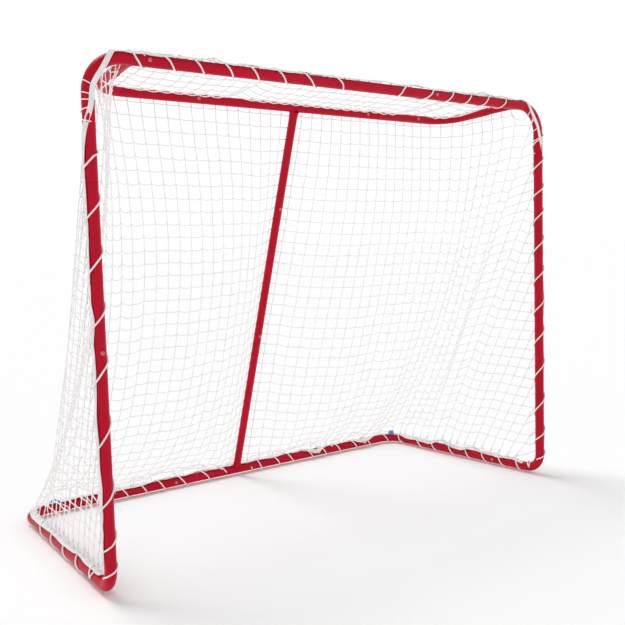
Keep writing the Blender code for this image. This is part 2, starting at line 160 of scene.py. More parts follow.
def carried(line, start=(0.13, 0.27, 0.95)):
    """Directions along a line, and two more square to it that are carried along without twisting."""
    ahead = unit(np.gradient(line, axis=0))
    start = np.asarray(start, float)
    normal = unit(start - ahead[0] * (start @ ahead[0]))
    normals = []
    for direction in ahead:
        normal = normal - direction * (normal @ direction)
        normal = normal / math.sqrt(normal @ normal)
        normals.append(normal)
    normals = np.array(normals)
    return ahead, normals, np.cross(ahead, normals)


def smooth_line(points, rounds=3):
    """Cuts the corners off a coarse line until it is smooth."""
    points = np.asarray(points, float)
    for _ in range(rounds):
        low = points[:-1] * 0.75 + points[1:] * 0.25
        high = points[:-1] * 0.25 + points[1:] * 0.75
        points = np.concatenate([points[:1], np.stack([low, high], 1).reshape(-1, points.shape[1]),
                                 points[-1:]])
    return points


def shade(mesh):
    mesh.shade_smooth()
    mesh.set_sharp_from_angle(angle=math.radians(50))
    mesh.update()


class Build:
    """Gathers swept tubes and other shapes into one mesh, with a map of distance along and around."""

    def __init__(self):
        self.points, self.quads, self.maps, self.caps, self.count = [], [], [], [], 0

    def tube(self, line, radius, sides, caps=True):
        _, one, two = carried(line)
        radius = np.broadcast_to(np.asarray(radius, float), (len(line),))
        turn = np.arange(sides) * math.tau / sides
        out = one[:, None] * np.cos(turn)[None, :, None] + two[:, None] * np.sin(turn)[None, :, None]
        self.grid(line[:, None] + out * radius[:, None, None], lengths(line), caps)

    def grid(self, rings, passed, caps=True):
        """Rings of points joined one to the next."""
        n, m = rings.shape[:2]
        i = np.arange(n - 1)[:, None]
        k = np.arange(m)[None, :]
        after = (k + 1) % m
        first = self.count
        quads = np.stack(np.broadcast_arrays(i * m + k, i * m + after, (i + 1) * m + after,
                                             (i + 1) * m + k), -1).reshape(-1, 4) + first
        u = np.stack(np.broadcast_arrays(k / m, (k + 1) / m, (k + 1) / m, k / m), -1)
        v = np.stack(np.broadcast_arrays(passed[i], passed[i], passed[i + 1], passed[i + 1]), -1)
        u = np.broadcast_to(u, (n - 1, m, 4))
        v = np.broadcast_to(v, (n - 1, m, 4))
        self.points.append(rings.reshape(-1, 3))
        self.quads.append(quads)
        self.maps.append(np.stack([u, v], -1).reshape(-1, 2))
        if caps:
            self.caps.append(list(range(first + m - 1, first - 1, -1)))
            self.caps.append(list(range(first + (n - 1) * m, first + n * m)))
        self.count += n * m

    def blobs(self, places, axes, radius, stretch):
        """A small twelve-cornered knot at each place, longer along its axis."""
        g = (1 + 5 ** 0.5) / 2
        corners = unit([(-1, g, 0), (1, g, 0), (-1, -g, 0), (1, -g, 0), (0, -1, g), (0, 1, g),
                        (0, -1, -g), (0, 1, -g), (g, 0, -1), (g, 0, 1), (-g, 0, -1), (-g, 0, 1)])
        faces = np.array([(0, 11, 5), (0, 5, 1), (0, 1, 7), (0, 7, 10), (0, 10, 11), (1, 5, 9), (5, 11, 4),
                          (11, 10, 2), (10, 7, 6), (7, 1, 8), (3, 9, 4), (3, 4, 2), (3, 2, 6), (3, 6, 8),
                          (3, 8, 9), (4, 9, 5), (2, 4, 11), (6, 2, 10), (8, 6, 7), (9, 8, 1)])
        places, axes = np.asarray(places), unit(axes)
        along = corners @ axes.T
        points = places[None] + radius * (corners[:, None] + (stretch - 1) * along[..., None] * axes[None])
        points = points.transpose(1, 0, 2).reshape(-1, 3)
        self.points.append(points)
        all_faces = faces[None] + 12 * np.arange(len(places))[:, None, None] + self.count
        self.caps.extend(all_faces.reshape(-1, 3).tolist())
        self.count += len(points)

    def mesh(self, name):
        mesh = bpy.data.meshes.new(name)
        quads, maps = np.concatenate(self.quads), np.concatenate(self.maps)
        mesh.from_pydata(np.concatenate(self.points).tolist(), [], quads.tolist() + self.caps)
        layer = mesh.uv_layers.new(name="route")
        values = np.zeros((len(mesh.loops), 2), np.float32)
        values[:len(maps)] = maps
        layer.data.foreach_set("uv", values.ravel())
        shade(mesh)
        return mesh


def piece(name, build, look, slot, *nodes):
    """A shown piece that rides on the goal and stands for these CAD nodes."""
    made = bpy.data.objects.new(name, build.mesh(name))
    bpy.context.scene.collection.objects.link(made)
    made.data.materials.append(look)
    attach(made, "root")
    if nodes:
        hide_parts(*nodes)
    return made


# ---- materials ----
class Look:
    """A node material being put together."""

    def __init__(self, name, colour, roughness, metallic=0.0):
        self.made = bpy.data.materials.new(name)
        self.made.use_nodes = True
        self.tree = self.made.node_tree
        self.shader = self.tree.nodes["Principled BSDF"]
        self.shader.inputs["Base Color"].default_value = (*colour, 1)
        self.shader.inputs["Roughness"].default_value = roughness
        self.shader.inputs["Metallic"].default_value = metallic

    def node(self, kind, inputs=(), **settings):
        made = self.tree.nodes.new(kind)
        for key, value in settings.items():
            setattr(made, key, value)
        for key, value in dict(inputs).items():
            if isinstance(value, bpy.types.NodeSocket):
                self.tree.links.new(value, made.inputs[key])
            else:
                made.inputs[key].default_value = value
        return made

    def noise(self, scale, detail=3.0, place=None):
        place = place or self.node("ShaderNodeTexCoord").outputs["Object"]
        return self.node("ShaderNodeTexNoise", {"Vector": place, "Scale": scale, "Detail": detail})

    def spread(self, value, low, high):
        return self.node("ShaderNodeMapRange", {"Value": value, "To Min": low, "To Max": high}).outputs[0]

    def colour_from(self, value, dark, light, low=0.3, high=0.7):
        ramp = self.node("ShaderNodeValToRGB", {"Fac": value})
        ramp.color_ramp.elements[0].color, ramp.color_ramp.elements[0].position = (*dark, 1), low
        ramp.color_ramp.elements[1].color, ramp.color_ramp.elements[1].position = (*light, 1), high
        self.tree.links.new(ramp.outputs["Color"], self.shader.inputs["Base Color"])

    def rough_from(self, value):
        self.tree.links.new(value, self.shader.inputs["Roughness"])

    def bump(self, value, distance, strength=0.5):
        made = self.node("ShaderNodeBump", {"Height": value, "Distance": distance, "Strength": strength})
        self.tree.links.new(made.outputs["Normal"], self.shader.inputs["Normal"])


def paint_look():
    look = Look("crimson_paint", (0.48, 0.0, 0.018), 0.35)
    look.colour_from(look.noise(9).outputs["Fac"], (0.45, 0.0, 0.015), (0.51, 0.0, 0.021))
    look.rough_from(look.spread(look.noise(260).outputs["Fac"], 0.30, 0.42))
    look.bump(look.noise(700, 2).outputs["Fac"], 0.0002, 0.12)
    look.shader.inputs["Specular IOR Level"].default_value = 0.14
    return look.made


def steel_look():
    look = Look("painted_steel", (0.62, 0.16, 0.19), 0.35, 0.4)
    look.rough_from(look.spread(look.noise(900).outputs["Fac"], 0.28, 0.5))
    return look.made


def cord_look(name, dark, light, turns, fineness):
    """White twisted or braided cord: strands run round it on a slant."""
    look = Look(name, light, 0.8)
    route = look.node("ShaderNodeUVMap", uv_map="route").outputs["UV"]
    parts = look.node("ShaderNodeSeparateXYZ", {"Vector": route})
    along = look.node("ShaderNodeMath", {0: parts.outputs["Y"], 1: turns}, operation="MULTIPLY").outputs[0]
    both = []
    for sign in (1.0, -1.0):
        slant = look.node("ShaderNodeMath", {0: parts.outputs["X"], 1: sign * 3.0, 2: along},
                          operation="MULTIPLY_ADD").outputs[0]
        angle = look.node("ShaderNodeMath", {0: slant, 1: math.tau}, operation="MULTIPLY").outputs[0]
        both.append(look.node("ShaderNodeMath", {0: angle}, operation="SINE").outputs[0])
    weave = look.node("ShaderNodeMath", {0: both[0], 1: both[1]}, operation="MAXIMUM").outputs[0]
    look.bump(weave, fineness, 0.6)
    look.colour_from(look.noise(60).outputs["Fac"], dark, light)
    look.shader.inputs["Sheen Weight"].default_value = 0.25
    return look.made


def tape_look():
    look = Look("woven_tape", (0.86, 0.85, 0.85), 0.85)
    route = look.node("ShaderNodeUVMap", uv_map="route").outputs["UV"]
    weave = look.node("ShaderNodeTexWave", {"Vector": route, "Scale": 320.0, "Distortion": 0.3},
                      bands_direction="Y").outputs["Fac"]
    look.bump(weave, 0.0003, 0.5)
    look.colour_from(look.noise(45).outputs["Fac"], (0.76, 0.74, 0.74), (0.90, 0.88, 0.88))
    look.shader.inputs["Sheen Weight"].default_value = 0.2
    return look.made


def clip_look():
    look = Look("blue_plastic", (0.10, 0.24, 0.62), 0.4)
    look.rough_from(look.spread(look.noise(400).outputs["Fac"], 0.34, 0.48))
    look.colour_from(look.noise(120).outputs["Fac"], (0.08, 0.20, 0.55), (0.13, 0.29, 0.68))
    return look.made


PAINT, STEEL, TAPE, CLIP = paint_look(), steel_look(), tape_look(), clip_look()
CORD = cord_look("lacing_cord", (0.86, 0.81, 0.80), (0.95, 0.90, 0.89), 220.0, 0.0003)
TWINE = cord_look("net_twine", (0.92, 0.90, 0.90), (0.97, 0.96, 0.96), 500.0, 0.0002)

# ---- frame tubes ----
END = 0.0009             # how much of a tube's end is rounded over
GAP = 0.0003             # the seam between two tubes
FLARE_REACH = 0.005      # how fast the fillet at a welded end fades
BEAD_R = 0.0022


def bar(name, node, line, radius, flare=0.0):
    """A painted tube, rounded over at its ends, that stands for one CAD tube."""
    line = spaced(line, 0.004) if flare else line
    passed = lengths(line)
    line = at_distance(line, np.concatenate([[0, END * 0.35], passed[1:-1][(passed[1:-1] > 2 * END)
                                             & (passed[1:-1] < passed[-1] - 2 * END)],
                                             [passed[-1] - END * 0.35, passed[-1]]]))
    if len(line) < 8:
        line = np.insert(line, 2, line[1] + (line[-2] - line[1]) * 0.02, axis=0)
        line = np.insert(line, -2, line[-2] + (line[1] - line[-2]) * 0.02, axis=0)
    size = np.full(len(line), radius)
    size[[0, -1]] -= END
    size[[1, -2]] -= END * 0.3
    if flare:
        gone = lengths(line)
        size = size + flare * np.exp(-gone / FLARE_REACH)
    build = Build()
    build.tube(line, size, 40)
    piece(name, build, PAINT, "frame", node)


def bead(build, centre, direction, small, big):
    """A weld bead where a tube meets a bar that runs along X."""
    direction = unit(direction)
    across = unit(np.cross(direction, (1, 0, 0)))
    turn = np.linspace(0, math.tau, 49)
    reach = np.sqrt(np.maximum(big ** 2 - (small * np.sin(turn)) ** 2, (0.15 * big) ** 2))
    line = (centre + small * np.cos(turn)[:, None] * np.array((1.0, 0, 0))
            + small * np.sin(turn)[:, None] * across + reach[:, None] * direction)
    build.tube(line, BEAD_R * (1 + 0.12 * np.sin(turn * 16)), 10, caps=False)


def build_frame():
    for side, word in SIDES:
        foot, gap = post_point(side, BASE_Z), side * GAP / 2
        bar(f"paint_mouth_corner_{word}", f"mouth_corner_{word}",
            rounded([post_point(side, POST_SEAM_Z), post_point(side, BAR_Z), bar_point(BAR_SEAM_X + gap)],
                    [TOP_BEND], 28), TUBE_R)
        bar(f"paint_post_{word}", f"post_{word}",
            rounded([post_point(side, POST_SEAM_Z - GAP), foot, rail_point(side, RAIL_SEAM)],
                    [FOOT_BEND], 24), TUBE_R)
        bar(f"paint_base_corner_{word}", f"base_corner_{word}",
            rounded([rail_point(side, RAIL_SEAM + GAP), rail_point(side, DEPTH),
                     (REAR_SEAM_X + gap, REAR_Y, BASE_Z)], [REAR_BEND], 24), TUBE_R)
        bar(f"paint_shelf_{word}", f"shelf_{word}",
            rounded([arm_point(side, ARM_SEAM), (side * SHELF_X, SHELF_Y, SHELF_Z),
                     (SHELF_SEAM_X + gap, SHELF_Y, SHELF_Z)], [SHELF_BEND], 28), THIN_R)
        bar(f"paint_arm_stub_{word}", f"arm_stub_{word}",
            np.array([arm_point(side, 0.008), arm_point(side, ARM_SEAM + 0.04)]), STUB_R, 0.0025)
        weld = Build()
        bead(weld, arm_point(side, 0), arm_point(side, 0.1) - arm_point(side, 0), STUB_R, TUBE_R)
        piece(f"weld_arm_{word}", weld, PAINT, "frame")
    upper, lower = BRACE_SEAMS
    bar("paint_brace", "brace", np.array([brace_point(upper + 0.0002), brace_point(lower - 0.0002)]),
        THIN_R)
    bar("paint_brace_stub_upper", "brace_stub_upper", np.array([brace_point(0.009), brace_point(upper)]),
        THIN_R, 0.0028)
    bar("paint_brace_stub_lower", "brace_stub_lower", np.array([brace_point(0.991), brace_point(lower)]),
        THIN_R, 0.0028)
    down = brace_point(1) - brace_point(0)
    for name, end, way, big in (("weld_brace_upper", 0, 1, THIN_R), ("weld_brace_lower", 1, -1, TUBE_R)):
        weld = Build()
        bead(weld, brace_point(end), way * down, THIN_R, big)
        piece(name, weld, PAINT, "frame")


def screw(name, place, out, radius):
    """A pan-head screw with a cross recess."""
    out = unit(out)
    seat = radius - 0.0002
    outline = [(0.0, 0.0027), (0.0016, 0.0026), (0.0031, 0.0021), (0.0041, 0.0012), (0.0045, 0.0003),
               (0.0045, -0.0004), (0.0019, -0.0004), (0.0019, -0.006), (0.0, -0.007)]
    mesh = bpy.data.meshes.new("head_" + name)
    turned = bmesh.new()
    corners = [turned.verts.new((x, 0, z)) for x, z in outline]
    edges = [turned.edges.new(pair) for pair in zip(corners, corners[1:])]
    bmesh.ops.spin(turned, geom=corners + edges, cent=(0, 0, 0), axis=(0, 0, 1), angle=math.tau, steps=28,
                   use_merge=True)
    bmesh.ops.remove_doubles(turned, verts=turned.verts, dist=1e-6)
    bmesh.ops.recalc_face_normals(turned, faces=turned.faces)
    turned.to_mesh(mesh)
    turned.free()
    shade(mesh)
    made = bpy.data.objects.new("head_" + name, mesh)
    bpy.context.scene.collection.objects.link(made)
    mesh.materials.append(STEEL)
    tools = []
    for k in range(2):
        tool = bpy.data.objects.new(f"cut_{k}", bpy.data.meshes.new(f"cut_{k}"))
        block = bmesh.new()
        bmesh.ops.create_cube(block, size=1.0)
        bmesh.ops.scale(block, vec=((0.0044, 0.0009, 0.003), (0.0009, 0.0044, 0.003))[k], verts=block.verts)
        bmesh.ops.translate(block, vec=(0, 0, 0.0027), verts=block.verts)
        block.to_mesh(tool.data)
        block.free()
        bpy.context.scene.collection.objects.link(tool)
        step = made.modifiers.new(f"cut_{k}", "BOOLEAN")
        step.operation, step.object, step.solver = "DIFFERENCE", tool, "EXACT"
        tools.append(tool)
    bpy.context.view_layer.update()
    cut = bpy.data.meshes.new_from_object(made.evaluated_get(bpy.context.evaluated_depsgraph_get()))
    made.modifiers.clear()
    made.data = cut
    for tool in tools:
        bpy.data.objects.remove(tool, do_unlink=True)
    made.rotation_mode = "QUATERNION"
    made.rotation_quaternion = Vector(out).to_track_quat("Z", "Y")
    made.location = Vector(np.asarray(place) + out * seat)
    bpy.context.view_layer.update()
    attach(made, "root")
    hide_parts(name)


def build_screws():
    toward_mouth = unit(np.cross(brace_point(1) - brace_point(0), (1, 0, 0)))
    toward_mouth = toward_mouth * (-1 if toward_mouth[1] > 0 else 1)
    screw("screw_crossbar_left", bar_point(-0.545), FRONT, TUBE_R)
    screw("screw_crossbar_right", bar_point(0.257), FRONT, TUBE_R)
    screw("screw_post_left", post_point(-1, 0.500), FRONT, TUBE_R)
    screw("screw_post_right", post_point(1, 0.500), BACK, TUBE_R)
    screw("screw_rail_left", rail_point(-1, 0.194), outer(1), TUBE_R)
    screw("screw_rail_right", rail_point(1, 0.167), outer(-1), TUBE_R)
    screw("screw_rear_bar", (-0.212, REAR_Y, BASE_Z), FRONT, TUBE_R)
    screw("screw_shelf_left", (-0.292, SHELF_Y, SHELF_Z), FRONT, THIN_R)
    screw("screw_shelf_right", (0.246, SHELF_Y, SHELF_Z), FRONT, THIN_R)
    screw("screw_shelf_end", (0.440, SHELF_Y, SHELF_Z), FRONT, THIN_R)
    screw("screw_brace_upper", brace_point(0.247), toward_mouth, THIN_R)
    screw("screw_brace_lower", brace_point(0.592), toward_mouth, THIN_R)


# ---- lacing and tape ----
START = (0.0, -1.0, 0.02)       # where turns about a tube are counted from
LACE_BUMP = 0.0024       # how far the cord stands off where it crosses the tape
MOUTH_TAPE_W, FLOOR_TAPE_W = 0.0105, {-1: 0.0165, 1: 0.0125}
TAPE_REACH = TUBE_R + 0.0004 + TAPE_T / 2       # from a tube's line to the middle of tape lying on it


def mouth_line(side):
    """The line from a rail up the post and over to the middle of the crossbar."""
    return rounded([rail_point(side, 0.3), post_point(side, BASE_Z), post_point(side, BAR_Z), bar_point(0)],
                   [FOOT_BEND, TOP_BEND])


def floor_line(side):
    """The line from a post's foot back along the rail and in to the middle of the rear bar."""
    return rounded([post_point(side, 0.2), post_point(side, BASE_Z), rail_point(side, DEPTH),
                    (0, REAR_Y, BASE_Z)], [FOOT_BEND, REAR_BEND])


def nearest(line, place):
    return int(np.argmin(np.linalg.norm(line - np.asarray(place), axis=1)))


def lace(name, line, keys, turn, tape_side):
    """Cord wound about a tube. Each key is a place, the side the cord passes there and whether it has
    gone round the tube since the last one; tape_side gives the side the edge tape is on."""
    line = spaced(line, 0.0015)
    _, one, two = carried(line, START)
    found = []
    for place, toward, wraps in keys:
        k = nearest(line, place)
        angle = turn * math.atan2(float(np.dot(toward, two[k])), float(np.dot(toward, one[k])))
        if found:
            least = found[-1][1] + (0.75 * math.pi if wraps else -0.9 * math.pi)
            angle += math.ceil((least - angle) / math.tau) * math.tau
        found.append((k, angle))
    order = sorted(found)
    ks = np.arange(order[0][0], order[-1][0] + 1)
    angles = np.interp(ks, [k for k, _ in order], [a for _, a in order]) * turn
    out = one[ks] * np.cos(angles)[:, None] + two[ks] * np.sin(angles)[:, None]
    over = np.array([max(0.0, float(o @ tape_side(p))) for o, p in zip(out, line[ks])])
    build = Build()
    build.tube(line[ks] + out * (TUBE_R + CORD_R * 0.9 + LACE_BUMP * over ** 4)[:, None], CORD_R, 10)
    piece(f"cord_{name}", build, CORD, "cord", name)


def build_lacing():
    def over_top(_):
        return UP

    bar_line = np.array([bar_point(-POST_X), bar_point(POST_X)])
    for word, turn, first, last, places in (("left", -1, UP, DOWN, LACES_BAR_LEFT),
                                            ("right", 1, DOWN, UP, LACES_BAR_RIGHT)):
        lace(f"lacing_crossbar_{word}", bar_line,
             [(bar_point(places[0] - 0.011), first, False)]
             + [(bar_point(x), FRONT, k > 0) for k, x in enumerate(places)]
             + [(bar_point(places[-1] + 0.012), last, False)], -turn, over_top)
    for side, word, places in ((-1, "left", LACES_POST_LEFT), (1, "right", LACES_POST_RIGHT)):
        lace(f"lacing_post_{word}", np.array([post_point(side, 0.03), post_point(side, BAR_Z)]),
             [(post_point(side, places[0] - 0.010), outer(-1), False)]
             + [(post_point(side, z), FRONT, k > 0) for k, z in enumerate(places)]
             + [(post_point(side, places[-1] + 0.012), outer(1), False)], 1,
             lambda _, s=side: outer(s))
    for side, word, rails, rears in ((-1, "left", LACES_RAIL_LEFT, LACES_REAR_LEFT),
                                     (1, "right", LACES_RAIL_RIGHT, LACES_REAR_RIGHT)):
        line = floor_line(side)
        keys = [(rail_point(side, rails[0] - 0.007), unit((-0.4, 0, 1)), False)]
        keys += [(rail_point(side, y), outer(-1), k > 0) for k, y in enumerate(rails)]
        lace(f"lacing_rail_{word}", line, keys, 1, over_top)
        bend = np.array((side * (REAR_X - REAR_BEND), REAR_Y - REAR_BEND, BASE_Z))
        keys = [(rail_point(side, rails[-1]), outer(-1), True)]
        for degrees in (8, 62):
            way = np.array((side * math.cos(math.radians(degrees)), math.sin(math.radians(degrees)), 0))
            keys.append((bend + way * REAR_BEND, -side * way, True))
        keys += [((x, REAR_Y, BASE_Z), FRONT, True) for x in rears]
        lace(f"lacing_rear_{word}", line, keys, 1, over_top)


def ribbon(build, stations, width):
    """A flat band through (centre, direction out of its face) stations; returns its centreline."""
    line = smooth_line([np.concatenate([c, o]) for c, o in stations])
    centre, out = line[:, :3], unit(line[:, 3:])
    ahead = unit(np.gradient(centre, axis=0))
    out = unit(out - ahead * (out * ahead).sum(1)[:, None])
    across = np.cross(ahead, out)
    section = [(a * width, 0.5 * TAPE_T) for a in (-0.5, -0.25, 0.0, 0.25, 0.5)]
    section += [(-a, -b) for a, b in section]
    build.grid(np.stack([centre + across * a + out * b for a, b in section], axis=1), lengths(centre))
    return centre


def tape_run(line, start, stop, toward, step=0.012, loose=0.0008, swing=0.25, loops=()):
    """Stations for tape that lies on one side of a tube and shifts about a little on it. Each loop is a
    (place, half-length, direction, how far) where it hangs free."""
    line = spaced(line, 0.002)
    ahead, _, _ = carried(line, START)
    first, last = nearest(line, start), nearest(line, stop)
    ks = np.arange(min(first, last), max(first, last), int(step / 0.002))
    shift = np.interp(np.arange(len(ks)), np.arange(0, len(ks) + 4, 4),
                      rng.normal(0, swing, len(np.arange(0, len(ks) + 4, 4))))
    raised = np.abs(np.interp(np.arange(len(ks)), np.arange(0, len(ks) + 3, 3),
                              rng.normal(0, loose, len(np.arange(0, len(ks) + 3, 3)))))
    stations = []
    for k, turn, lift in zip(ks, shift, raised):
        out = np.asarray(toward(line[k]), float)
        out = unit(out - ahead[k] * (out @ ahead[k]))
        for place, half, way, far in loops:
            near = math.exp(-(np.linalg.norm(line[k] - place) / half) ** 2)
            out, lift = unit(out + 2.2 * near * way), lift + near * far
        out = unit(out + turn * np.cross(ahead[k], out))
        stations.append((line[k] + out * (TAPE_REACH + lift), out))
    return stations if first < last else stations[::-1]


def build_tapes():
    """The net's edge tapes; returns each one's centreline, mouth and floor, by side."""
    lines = {}
    for side, word in SIDES:
        inset = 0.0 if side < 0 else 0.011
        post = tape_run(mouth_line(side), post_point(side, 0.085), post_point(side, 0.905),
                        lambda _, s=side: outer(s), loose=0.0015, swing=0.12)
        front = MOUTH_Y - TAPE_REACH
        chord = [((side * (POST_X + 0.0125), MOUTH_Y - 0.006, 0.935), unit((side, -0.7, 0))),
                 ((side * (POST_X - 0.0005 - 0.3 * inset), front - 0.0005, 0.975), FRONT),
                 ((side * (POST_X - 0.0030 - inset), front - 0.0010, 1.005), FRONT),
                 ((side * (POST_X - 0.0080 - inset), front - 0.0010, 1.022), FRONT),
                 ((side * (POST_X - 0.0300 - inset), front - 0.0005, 1.053), FRONT),
                 ((side * (POST_X - 0.0460 - inset), MOUTH_Y - 0.0125, BAR_Z + 0.0075),
                  unit((0, -1, 0.7))),
                 ((side * (POST_X - 0.0560 - inset), MOUTH_Y - 0.004, BAR_Z + TAPE_REACH), UP)]
        top = tape_run(mouth_line(side), bar_point(side * (0.590 - inset)), bar_point(0),
                       lambda _: np.array((0.0, -0.42, 1.0)), loose=0.0028, swing=0.2)
        build = Build()
        mouth = ribbon(build, post + chord + top, MOUTH_TAPE_W)
        piece(f"tape_mouth_{word}", build, TAPE, "tape", f"mouth_tape_{word}")
        loops = []
        if side > 0:
            loops = [(np.array((0.292, REAR_Y, BASE_Z)), 0.028, unit((0, -1, -0.35)), 0.004),
                     (np.array((0.505, REAR_Y, BASE_Z)), 0.030, unit((0, -1, 0.1)), 0.004),
                     (rail_point(1, 0.385), 0.022, UP, 0.010), (rail_point(1, 0.25), 0.02, UP, 0.006)]

        def inward(place, s=side):
            if place[1] > REAR_Y - 0.03:
                return np.array((0.0, 0.1, 1.0))
            return np.array((-0.45, 0.0, 1.0)) if s > 0 else np.array((-0.05, 0.0, 1.0))

        floor = tape_run(floor_line(side), rail_point(side, 0.055), (0, REAR_Y, BASE_Z), inward,
                         loose=0.0018, swing=0.2, loops=loops)
        build = Build()
        base = ribbon(build, floor, FLOOR_TAPE_W[side])
        piece(f"tape_floor_{word}", build, TAPE, "tape", f"floor_tape_{word}")
        lines[side] = (mouth, base)
    return lines


# ---- net ----
ROWS = 37                # meshes from the shelf bar down to the floor tape, the last one bunched up
TOP_HALF = 23.4          # meshes from the middle of the shelf bar round to the crossbar
FLOOR_HALF = 36.0        # meshes from the middle of the rear bar round to the post's foot
BACK_HALF = 16           # columns each side of the middle that start from the shelf bar
DROP_TAUT, ROW_TAUT = 0.916, 0.985      # mesh height and width over MESH, set for the drape
TOP_LOOSE = 1.02         # mesh width over MESH in the top panel
TOP_ROWS = 8             # meshes from the shelf bar forward to the crossbar
LIVELY, CALM = (1.6e-5, 0.985), (2e-6, 0.93)     # gravity per round squared, and how much speed is kept
ROUNDS, LIVELY_SHARE = 2600, 0.6
NEAR = 0.09              # knots further than this from a tube to begin with never meet it
LYING = 0.0015           # height of twine that lies on the floor
UNEVEN = (-0.025, 0.035)        # how much one string's length differs from the next
KNOT_LONG = 1.35         # a knot's length over its width


def panel_of(k):
    """The panel that a column belongs to, counted from the middle of the goal."""
    word = "right" if k >= 0 else "left"
    return f"net_back_{word}" if abs(k) <= BACK_HALF else f"net_side_{word}"


def from_bar(points, a, b):
    """Each point's place from the nearest point of a straight piece of tube."""
    along = b - a
    share = np.clip(((points - a) @ along) / (along @ along), 0, 1)
    return points - a - share[:, None] * along


def too_long(apart, rest):
    """How much of each span is more than its string allows."""
    long = np.sqrt((apart * apart).sum(1))
    return apart * (np.maximum(long - rest, 0) / np.maximum(long, 1e-9))[:, None]


class Net:
    """Knots joined by strings of light links, let down under gravity over the tubes."""

    def __init__(self):
        self.place, self.fixed, self.links, self.strings = [], [], [], []

    def knot(self, place, fixed=False):
        self.place.append(np.asarray(place, float))
        self.fixed.append(fixed)
        return len(self.place) - 1

    def string(self, a, b, length, panel, run, bow=None):
        """A string between two knots; bow pushes its middle out to start with."""
        parts = LINKS if length > 0.6 * MESH else 2
        ids = [a]
        for k in range(1, parts):
            share = k / parts
            at = self.place[a] * (1 - share) + self.place[b] * share
            if bow is not None:
                at = at + bow * math.sin(math.pi * share)
            ids.append(self.knot(at))
        ids.append(b)
        length *= 1 + rng.uniform(*UNEVEN)
        self.links += [(p, q, length / parts) for p, q in zip(ids, ids[1:])]
        self.strings.append((panel, run, ids))

    def tethers(self, free):
        """Keeps each point of a column within its own length of string from both ends of the column."""
        rests = {(p, q): rest for p, q, rest in self.links}
        runs, both = {}, ([], [])
        for _, run, ids in self.strings:
            if run[0] in ("column", "top column"):
                runs.setdefault(run, []).append(ids)
        for parts in runs.values():
            for chain in chained(parts):
                passed = np.cumsum([0] + [rests[pair] for pair in zip(chain, chain[1:])])
                for point, far in zip(chain[1:-1], passed[1:-1]):
                    both[0].append((point, chain[0], far))
                    both[1].append((point, chain[-1], passed[-1] - far))
        kept = [[t for t in part if free[t[0]] > 0 and free[t[1]] == 0] for part in both]
        return [tuple(np.array(column) for column in zip(*part)) for part in kept]

    def batches(self):
        """Groups of links in which no knot comes twice, so each group can be pulled in at once."""
        used, groups = [], []
        for p, q, rest in self.links:
            for busy, group in zip(used, groups):
                if p not in busy and q not in busy:
                    break
            else:
                busy, group = set(), []
                used.append(busy)
                groups.append(group)
            busy.update((p, q))
            group.append((p, q, rest))
        return [tuple(np.array(column) for column in zip(*group)) for group in groups]

    def settle(self, rounds, bars, ridge):
        place = np.array(self.place)
        last = place.copy()
        free = (~np.array(self.fixed)).astype(float)
        groups, held = [], self.tethers(free)
        for p, q, rest in self.batches():
            weight = free[p] + free[q]
            keep = weight > 0
            p, q, rest, weight = p[keep], q[keep], rest[keep], weight[keep]
            groups.append((p, q, rest, (free[p] / weight)[:, None], (free[q] / weight)[:, None]))
        near = [(a, b, r, np.nonzero(np.linalg.norm(from_bar(place, a, b), axis=1) < r + NEAR)[0])
                for a, b, r in bars]
        top, back, radius = ridge
        by_ridge = np.nonzero((np.abs(place[:, 0]) < 0.06) & (place[:, 2] < SHELF_Z - 0.01)
                              & (place[:, 1] > SHELF_Y - 0.02))[0]
        for step in range(rounds):
            pull, damp = LIVELY if step < rounds * LIVELY_SHARE else CALM
            moved = (place - last) * damp
            moved[:, 2] -= pull
            last = place.copy()
            place = place + moved * free[:, None]
            for p, q, rest, wp, wq in groups:
                fix = too_long(place[q] - place[p], rest)
                place[p] += fix * wp
                place[q] -= fix * wq
            for ids, anchors, far in held:
                place[ids] += too_long(place[anchors] - place[ids], far)
            if step % 2 == 0:
                for a, b, r, ids in near:
                    ids = ids[free[ids] > 0]
                    out = from_bar(place[ids], a, b)
                    far = np.sqrt((out * out).sum(1))
                    push = np.maximum(r - far, 0) / np.maximum(far, 1e-9)
                    place[ids] += out * push[:, None]
                ids = by_ridge[free[by_ridge] > 0]
                x = np.clip(np.abs(place[ids, 0]) / radius, 0, 1)
                height = (place[ids] - top) @ back
                need = np.where(np.abs(place[ids, 0]) < radius, radius * np.sqrt(1 - x * x), -1.0)
                place[ids] += np.maximum(need - height, 0)[:, None] * back
                place[:, 2] = np.maximum(place[:, 2], LYING)
        self.place = place


def tube_bars():
    """The tubes the net lies against, as straight pieces with the distance it keeps."""
    bars = []
    for side in (-1, 1):
        mouth = rounded([post_point(side, 0.02), post_point(side, BAR_Z), bar_point(side * 0.3)],
                        [TOP_BEND], 6)
        floor = rounded([rail_point(side, 0.02), rail_point(side, DEPTH), (0, REAR_Y, BASE_Z)],
                        [REAR_BEND], 5)
        shelf = rounded([arm_point(side, 0.0), (side * SHELF_X, SHELF_Y, SHELF_Z), (0, SHELF_Y, SHELF_Z)],
                        [SHELF_BEND], 6)
        for line, radius in ((mouth, TUBE_R), (floor, TUBE_R), (shelf, THIN_R)):
            bars += [(a, b, radius + TWINE_R) for a, b in zip(line, line[1:])]
    bars.append((bar_point(-0.4), bar_point(0.4), TUBE_R + TWINE_R))
    return bars


